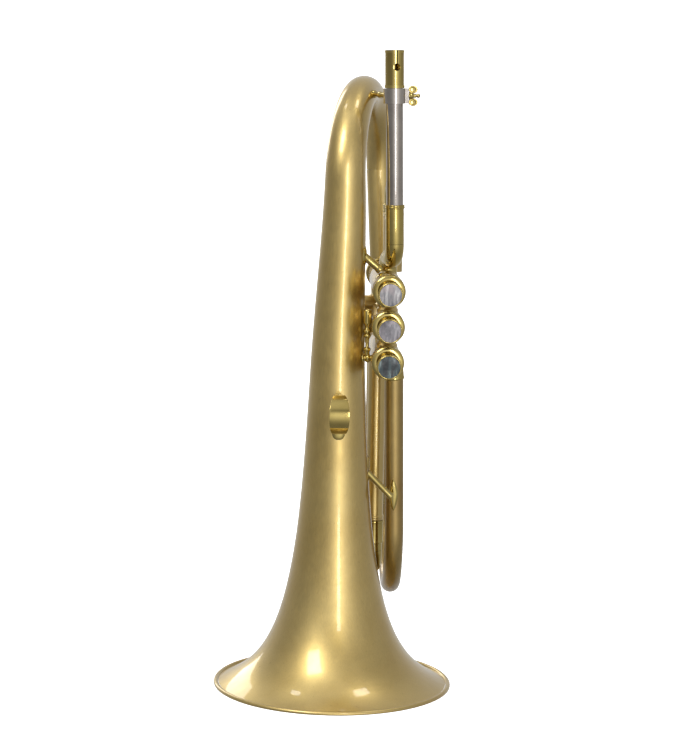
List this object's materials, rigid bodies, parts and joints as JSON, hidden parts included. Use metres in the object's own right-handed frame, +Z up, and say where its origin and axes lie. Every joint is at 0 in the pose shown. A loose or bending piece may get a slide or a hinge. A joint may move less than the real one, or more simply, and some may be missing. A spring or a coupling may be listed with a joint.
{
  "type": "flugelhorn",
  "caption": "Satin brass flugelhorn standing on its bell, with piston valves, valve slides, a sliding nickel leadpipe with clamp screw, and a little-finger hook.",
  "frame": {"origin": "centre of the bell mouth, on the flat face of the rim wire that it rests on", "axes": "+Z up along the bell axis from mouth to bow, -Y the way the finger buttons face, +X from the bell towards the valves and leadpipe"},
  "size_m": [0.1524, 0.1865, 0.4056],
  "materials": {
    "satin_brass": "satin",
    "polished_brass": "polished",
    "nickel_silver": "polished",
    "piston_metal": "satin",
    "spring_steel": "satin",
    "shell_inlay": "gloss",
    "black_felt": "matte"
  },
  "bodies": {
    "horn": {"bell": "satin_brass", "bell_rim_wire": "satin_brass", "rear_bow": "satin_brass", "return_leg": "satin_brass", "front_bow": "satin_brass", "front_bow_ferrule": "polished_brass", "valve_3_branch": "satin_brass", "valve_3_branch_ferrule": "polished_brass", "leadpipe_sleeve": "polished_brass", "leadpipe_sleeve_ring": "polished_brass", "leadpipe_elbow": "polished_brass", "clamp_collar": "polished_brass", "receiver_brace": "polished_brass", "upper_brace": "polished_brass", "middle_brace": "polished_brass", "lyre_socket": "polished_brass", "lower_brace": "polished_brass", "pinky_hook": "polished_brass", "knuckle_1_2": "satin_brass", "knuckle_2_3": "satin_brass", "valve_casing_1": "satin_brass", "valve_casing_2": "satin_brass", "valve_casing_3": "satin_brass", "top_cap_1": "polished_brass", "top_cap_2": "polished_brass", "top_cap_3": "polished_brass", "bottom_cap_1": "polished_brass", "bottom_cap_2": "polished_brass", "bottom_cap_3": "polished_brass", "valve_guide_1": "polished_brass", "valve_guide_2": "polished_brass", "valve_guide_3": "polished_brass", "valve_spring_1": "spring_steel", "valve_spring_2": "spring_steel", "valve_spring_3": "spring_steel", "slide_1_sleeves": "satin_brass", "slide_2_sleeves": "satin_brass", "slide_3_sleeves": "satin_brass"},
    "leadpipe": {"leadpipe": "nickel_silver", "mouthpiece_receiver": "polished_brass"},
    "clamp_screw": {"wing_screw": "polished_brass"},
    "slide_1": {"slide_1_crook": "polished_brass"},
    "slide_2": {"slide_2_crook": "polished_brass"},
    "slide_3": {"slide_3_crook": "polished_brass"},
    "valve_1": {"piston_1": "piston_metal", "valve_stem_1": "polished_brass", "stem_felt_1": "black_felt", "finger_button_1": "polished_brass", "pearl_1": "shell_inlay"},
    "valve_2": {"piston_2": "piston_metal", "valve_stem_2": "polished_brass", "stem_felt_2": "black_felt", "finger_button_2": "polished_brass", "pearl_2": "shell_inlay"},
    "valve_3": {"piston_3": "piston_metal", "valve_stem_3": "polished_brass", "stem_felt_3": "black_felt", "finger_button_3": "polished_brass", "pearl_3": "shell_inlay"}
  },
  "joints": [
    {"name": "valve_1_press", "type": "slide", "parent": "horn", "child": "valve_1", "axis": [0, 1, 0], "range_m": [0, 0.0148], "stiffness_N_per_m": 60, "springref_m": -0.01, "deforming": ["valve_spring_1"]},
    {"name": "valve_2_press", "type": "slide", "parent": "horn", "child": "valve_2", "axis": [0, 1, 0], "range_m": [0, 0.0148], "stiffness_N_per_m": 60, "springref_m": -0.01, "deforming": ["valve_spring_2"]},
    {"name": "valve_3_press", "type": "slide", "parent": "horn", "child": "valve_3", "axis": [0, 1, 0], "range_m": [0, 0.0148], "stiffness_N_per_m": 60, "springref_m": -0.01, "deforming": ["valve_spring_3"]},
    {"name": "leadpipe_tune", "type": "slide", "parent": "horn", "child": "leadpipe", "axis": [-0.0227, 0, 0.9997], "range_m": [0, 0.02]},
    {"name": "clamp_turn", "type": "hinge", "parent": "horn", "child": "clamp_screw", "pos_m": [0.03247, 0, 0.37702], "axis": [0.9997, 0, 0.0227], "range_deg": [-180, 180]},
    {"name": "slide_1_pull", "type": "slide", "parent": "horn", "child": "slide_1", "axis": [0, 0, 1], "range_m": [0, 0.024]},
    {"name": "slide_2_pull", "type": "slide", "parent": "horn", "child": "slide_2", "axis": [-1, 0, 0], "range_m": [0, 0.012]},
    {"name": "slide_3_pull", "type": "slide", "parent": "horn", "child": "slide_3", "axis": [0, 0, -1], "range_m": [0, 0.02]}
  ]
}
